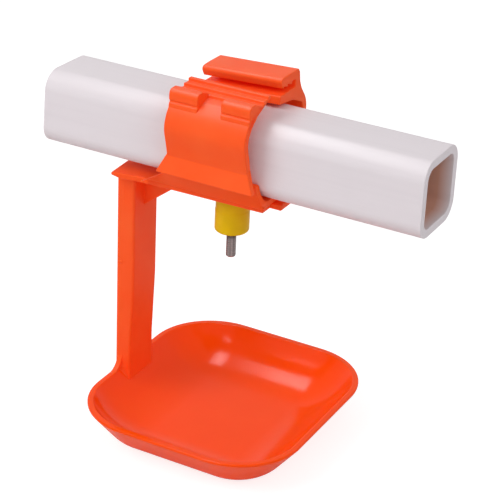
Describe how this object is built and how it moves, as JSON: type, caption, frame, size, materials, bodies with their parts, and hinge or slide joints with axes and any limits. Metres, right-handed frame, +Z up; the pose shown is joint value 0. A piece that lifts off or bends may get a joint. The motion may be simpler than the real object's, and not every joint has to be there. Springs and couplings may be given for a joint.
{
  "type": "poultry drinking cup",
  "caption": "Nipple drinker on a square water pipe: saddle clamp with ratchet jaws, screw-in valve with a tilting trigger pin, and a rounded drip cup hung on an arm below it.",
  "frame": {"origin": "centre of the drip cup's flat underside, on the axis of the nipple valve", "axes": "+X along the water pipe, away from the cup's arm; -Y towards the clamp's toothed tongue; +Z up"},
  "size_m": [0.1159, 0.0728, 0.1107],
  "materials": {
    "orange_plastic": "moulded, satin gloss",
    "pipe_plastic": "extruded, smooth",
    "yellow_plastic": "moulded, smooth",
    "steel": "turned",
    "rubber": "moulded"
  },
  "bodies": {
    "fixture": {"water_pipe": "pipe_plastic", "saddle_clamp": "orange_plastic", "drip_cup": "orange_plastic", "pipe_seal": "rubber", "nipple_stem": "yellow_plastic", "nipple_cap": "yellow_plastic", "upper_seat": "steel"},
    "washer": {"seat_washer": "steel"},
    "trigger": {"trigger_pin": "steel"},
    "ball": {"valve_ball": "steel"}
  },
  "joints": [
    {"name": "washer_turn", "type": "hinge", "parent": "fixture", "child": "washer", "pos_m": [0, 0, 0.06826], "axis": [0, 0, 1], "continuous": true},
    {"name": "trigger_tilt", "type": "hinge", "parent": "washer", "child": "trigger", "pos_m": [0.0024, 0, 0.06885], "axis": [0, 1, 0], "range_deg": [0, 6]},
    {"name": "ball_lift", "type": "slide", "parent": "fixture", "child": "ball", "axis": [0, 0, 1], "range_m": [0, 0.0005]}
  ]
}
